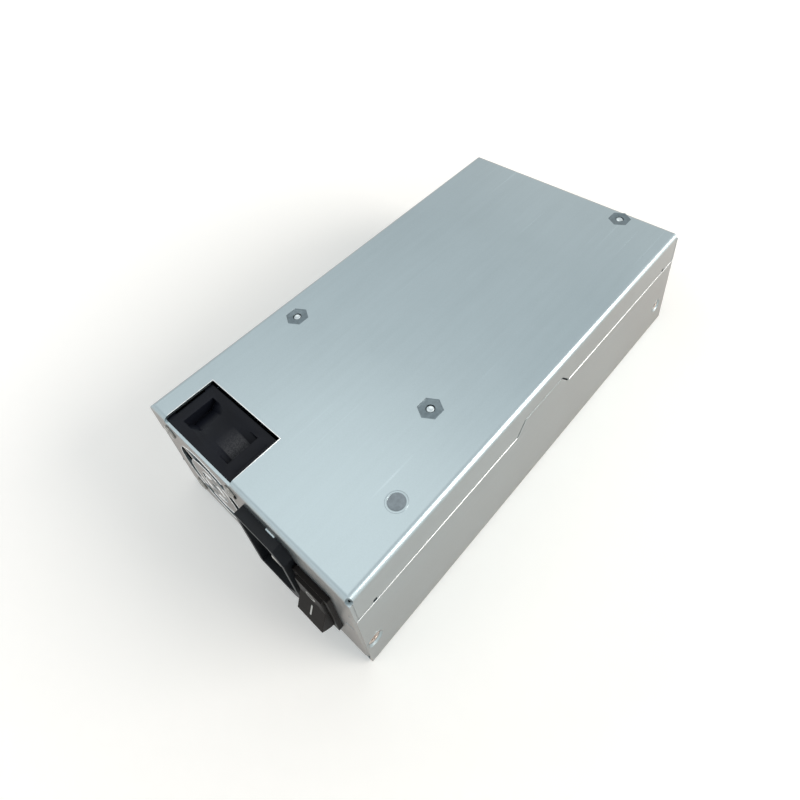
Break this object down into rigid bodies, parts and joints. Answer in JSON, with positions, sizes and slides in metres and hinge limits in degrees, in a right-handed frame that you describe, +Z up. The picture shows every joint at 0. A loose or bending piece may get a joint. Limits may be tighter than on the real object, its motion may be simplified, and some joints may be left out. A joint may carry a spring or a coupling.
{
  "type": "flex atx power supply",
  "caption": "Slim computer power supply in a folded steel case, with a fan seen through a window, a mains inlet, a rocker switch and a cable outlet.",
  "frame": {"origin": "middle of the case's lower face, between its two end faces and its two sides", "axes": "+Z up, out of the plate with the fan window; -Y towards the end with the fan grille, inlet and switch; +X towards the switch"},
  "size_m": [0.0816, 0.1562, 0.0405],
  "materials": {
    "galvanised_steel": "zinc coated sheet, fine satin",
    "zinc_screw": "plated steel, slightly warm",
    "fan_plastic": "fine moulded texture",
    "inlet_plastic": "smooth moulded",
    "switch_plastic": "smooth moulded",
    "plated_contact": "nickel plated",
    "copper_winding": "enamelled wire",
    "ferrite": "sintered, dull",
    "core_steel": "stacked sheets",
    "magnet_rubber": "bonded magnet",
    "circuit_board": "solder mask",
    "heatsink_aluminium": "plain rolled",
    "capacitor_sleeve": "shrunk sleeve",
    "filter_box": "moulded box",
    "disc_ceramic": "dipped",
    "device_epoxy": "moulded epoxy",
    "winding_tape": "polyester tape",
    "fuse_glass": "glass tube",
    "insulating_film": "milky film",
    "bush_nylon": "nylon",
    "header_nylon": "nylon",
    "bronze_bearing": "sintered bronze"
  },
  "bodies": {
    "case": {"board_screws": "zinc_screw", "bridge_rectifier": "device_epoxy", "bulk_capacitor": "capacitor_sleeve", "cable_bush": "bush_nylon", "chassis_tray": "galvanised_steel", "controller_board": "circuit_board", "cover_screws": "zinc_screw", "cover_shell": "galvanised_steel", "earth_nut": "zinc_screw", "earth_stud": "zinc_screw", "earth_terminal": "plated_contact", "fan_bearing": "bronze_bearing", "fan_circuit_board": "circuit_board", "fan_frame": "fan_plastic", "fan_header": "header_nylon", "fan_screws": "zinc_screw", "fan_stator_coils": "copper_winding", "fan_stator_core": "core_steel", "filter_choke_core": "ferrite", "filter_choke_windings": "copper_winding", "inlet_housing": "inlet_plastic", "inlet_pins": "plated_contact", "insulating_sheet": "insulating_film", "line_fuse": "fuse_glass", "main_board": "circuit_board", "output_capacitors": "capacitor_sleeve", "output_choke_core": "ferrite", "output_choke_winding": "copper_winding", "pcb_standoffs": "zinc_screw", "primary_heatsink": "heatsink_aluminium", "primary_transistors": "device_epoxy", "rectifier_diodes": "device_epoxy", "secondary_heatsink": "heatsink_aluminium", "standby_core": "ferrite", "standby_winding": "winding_tape", "switch_housing": "switch_plastic", "switch_terminals": "plated_contact", "transformer_core": "ferrite", "transformer_winding": "winding_tape", "x_capacitor": "filter_box", "y_capacitors": "disc_ceramic"},
    "fan_wheel": {"fan_rotor": "fan_plastic", "fan_magnet": "magnet_rubber", "fan_shaft": "core_steel"},
    "rocker": {"switch_rocker": "switch_plastic"}
  },
  "joints": [
    {"name": "fan_spin", "type": "hinge", "parent": "case", "child": "fan_wheel", "pos_m": [-0.01865, -0.0665, 0.02025], "axis": [0, 1, 0], "continuous": true},
    {"name": "rocker_tilt", "type": "hinge", "parent": "case", "child": "rocker", "pos_m": [0.02565, -0.0738, 0.0186], "axis": [1, 0, 0], "range_deg": [0, 24]}
  ]
}
